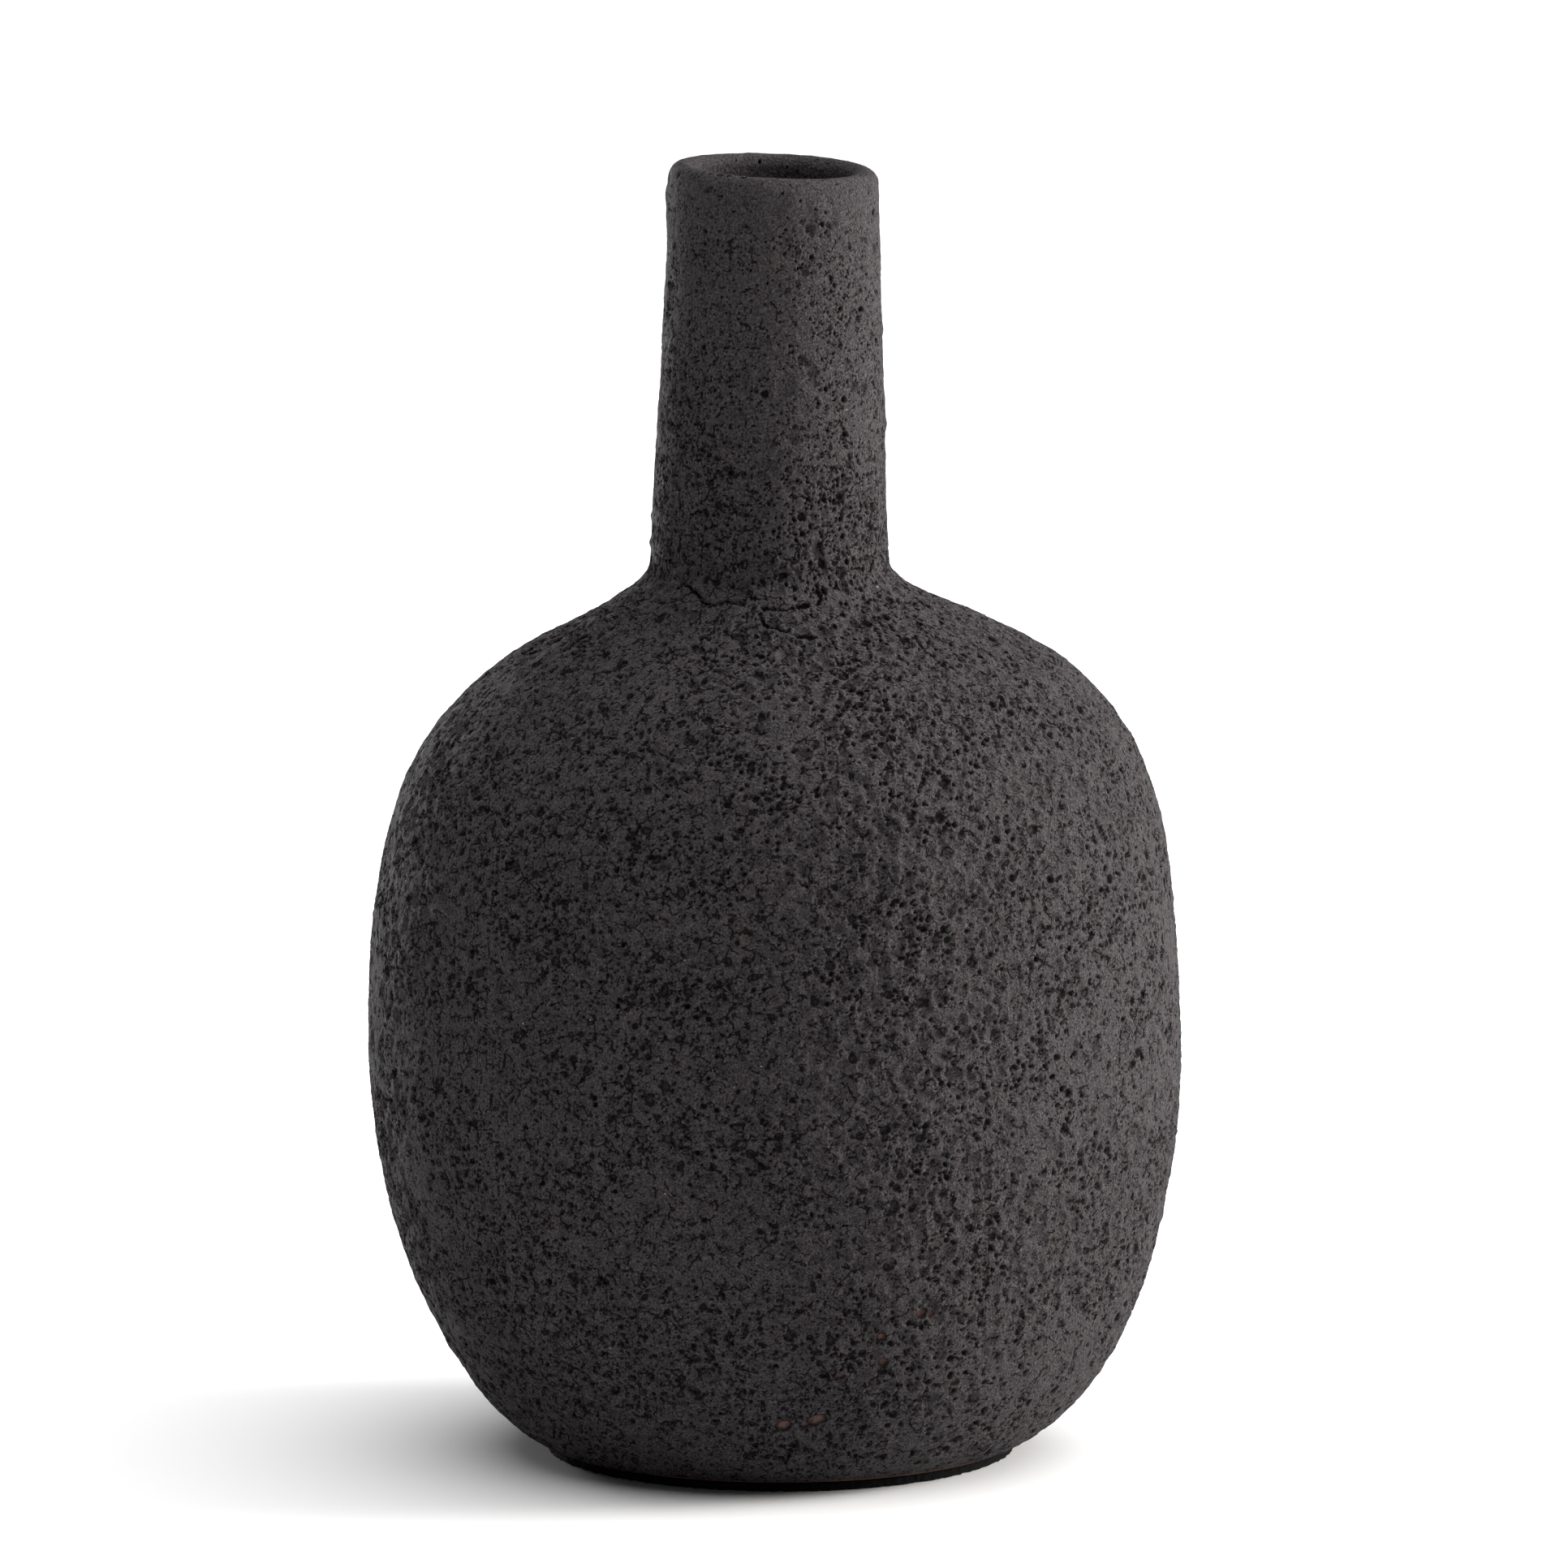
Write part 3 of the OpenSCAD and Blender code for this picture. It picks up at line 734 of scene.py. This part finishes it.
felt_low, felt_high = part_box("felt_pad")
felt_round = 0.35 * MM
felt_eye = 0.4 * MM                                  # radius of the first ring round the pole
felt_columns = 1024
felt_line = evenly(np.vstack([
    [[felt_eye, felt_low.z]], arc([felt_high.x - felt_round, felt_low.z + felt_round], felt_round, -90, 0, 8),
    arc([felt_high.x - felt_round, felt_high.z - felt_round], felt_round, 0, 90, 8),
    [[felt_eye, felt_high.z]]]), 0.3 * MM)
felt_counts = np.full(len(felt_line), felt_columns)
felt_points = turned(felt_line, felt_counts)
felt_out = turned(square_to(felt_line), felt_counts)
edge_share = np.clip((np.hypot(felt_points[:, 0], felt_points[:, 1]) - 52 * MM) / (2 * MM), 0, 1)
fuzz = 0.5 + 0.5 * lumpy(felt_points, 0.9 * MM, 31) + 0.35 * lumpy(felt_points, 0.45 * MM, 32)
fuzz = np.clip(fuzz, 0, 1.4) * (0.05 + 0.3 * edge_share) * MM
felt_points = felt_points - felt_out * fuzz[:, None]
felt_points = np.vstack([[[0, 0, felt_low.z]], felt_points, [[0, 0, felt_high.z]]])
felt_points[:, 2] = np.clip(felt_points[:, 2], felt_low.z, felt_high.z)

# Black wool felt: very dark, quite dull, matted, with pale lint. A fibre is nearer 0.03 mm, and is
# drawn 0.25 mm thick so that it shows.
felt_material, tree, shader, place = new_material("black_needled_felt", {"Specular IOR Level": 0.1})
matting = add(tree, "TexNoise", {"Vector": place, "Scale": 1 / (1.2 * MM), "Detail": 4.0, "Roughness": 0.7})
fibre = add(tree, "TexNoise", {"Vector": place, "Scale": 1 / (0.25 * MM), "Detail": 2.0})
lint = holes(tree, place, 1.6 * MM, 0.04, 0.1, 0.25)
colour = lay_colour(tree, linear("030303"), linear("0a0a0a"), matting, 0.35, 0.65)
colour = lay_colour(tree, colour, linear("141313"), fibre, 0.55, 0.75, 0.6)
colour = add(tree, "Mix", {0: lint, 6: colour, 7: linear("6e6a66")}, **RGBA)
fibre_height = add(tree, "Math", {0: fibre, 1: 0.12}, operation="MULTIPLY")
height = add(tree, "Math", {0: matting, 1: 0.3, 2: fibre_height}, operation="MULTIPLY_ADD")
finish(tree, shader, colour, matting, (0.9, 1.0), height)
felt_rings = np.r_[1, felt_counts, 1]
build("felt_pad_form", felt_points, weave(felt_rings, False), np.linspace(0, 1, len(felt_rings)),
      "felt_pad", felt_material)

# ---- Studio ----------------------------------------------------------------------------------
# A plain white floor under a wide overhead light, a soft box on the right, and a low one behind on
# the left that lights the rim of the pot.

scene = bpy.context.scene
scene.view_settings.view_transform = "Standard"
aim = Vector((0.75 * MM, 0, 155.8 * MM))
elevation = math.radians(9.75)
distance = 4.5
camera = bpy.data.objects.new("camera", bpy.data.cameras.new("camera"))
camera.data.lens = 446.8
camera.data.clip_end = 100
camera.location = aim + distance * Vector((0, -math.cos(elevation), math.sin(elevation)))
camera.rotation_euler = (aim - camera.location).to_track_quat("-Z", "Y").to_euler()
scene.collection.objects.link(camera)
scene.camera = camera

reach = 12
floor_mesh = bpy.data.meshes.new("floor")
floor_mesh.from_pydata([(-reach, -reach, 0), (reach, -reach, 0), (reach, reach, 0), (-reach, reach, 0)],
                       [], [(0, 1, 2, 3)])
floor = bpy.data.objects.new("floor", floor_mesh)
scene.collection.objects.link(floor)
floor_material = new_material("studio_floor", {"Base Color": (0.77, 0.77, 0.77, 1), "Roughness": 0.9,
                                               "Specular IOR Level": 0.1})[0]
floor_mesh.materials.append(floor_material)

# A dim surround lights the pot, and the camera sees it white
world = bpy.data.worlds.new("studio")
world.use_nodes = True
tree = world.node_tree
fill = tree.nodes["Background"]
feed(tree, fill, {"Color": (0.97, 0.985, 1, 1), "Strength": 0.1})
seen = add(tree, "Background", {"Strength": 1.1})
ray = add(tree, "LightPath", {})
both = add(tree, "MixShader", {0: ray.outputs["Is Camera Ray"], 1: fill, 2: seen})
feed(tree, tree.nodes["World Output"], {0: both})
scene.world = world


def soft_box(name, size, power, place, target):
    """A square light panel that faces a point."""
    box = bpy.data.objects.new(name, bpy.data.lights.new(name, "AREA"))
    box.data.size = size
    box.data.energy = power
    box.location = place
    box.rotation_euler = (Vector(target) - box.location).to_track_quat("-Z", "Y").to_euler()
    scene.collection.objects.link(box)
    return box


side_box = soft_box("side_box", 0.6, 46, (1.4, 0.08, 0.5), (0, 0, 0.12))
side_box.data.color = (1, 0.975, 0.945)
soft_box("rim_box", 0.5, 20, (-0.9, 1.55, 0.16), (0, 0, 0.15))
overhead = bpy.data.objects.new("overhead", bpy.data.lights.new("overhead", "SUN"))
overhead.data.energy = 4.35
overhead.data.angle = math.radians(90)
overhead.rotation_euler = (0, math.radians(8), 0)
scene.collection.objects.link(overhead)
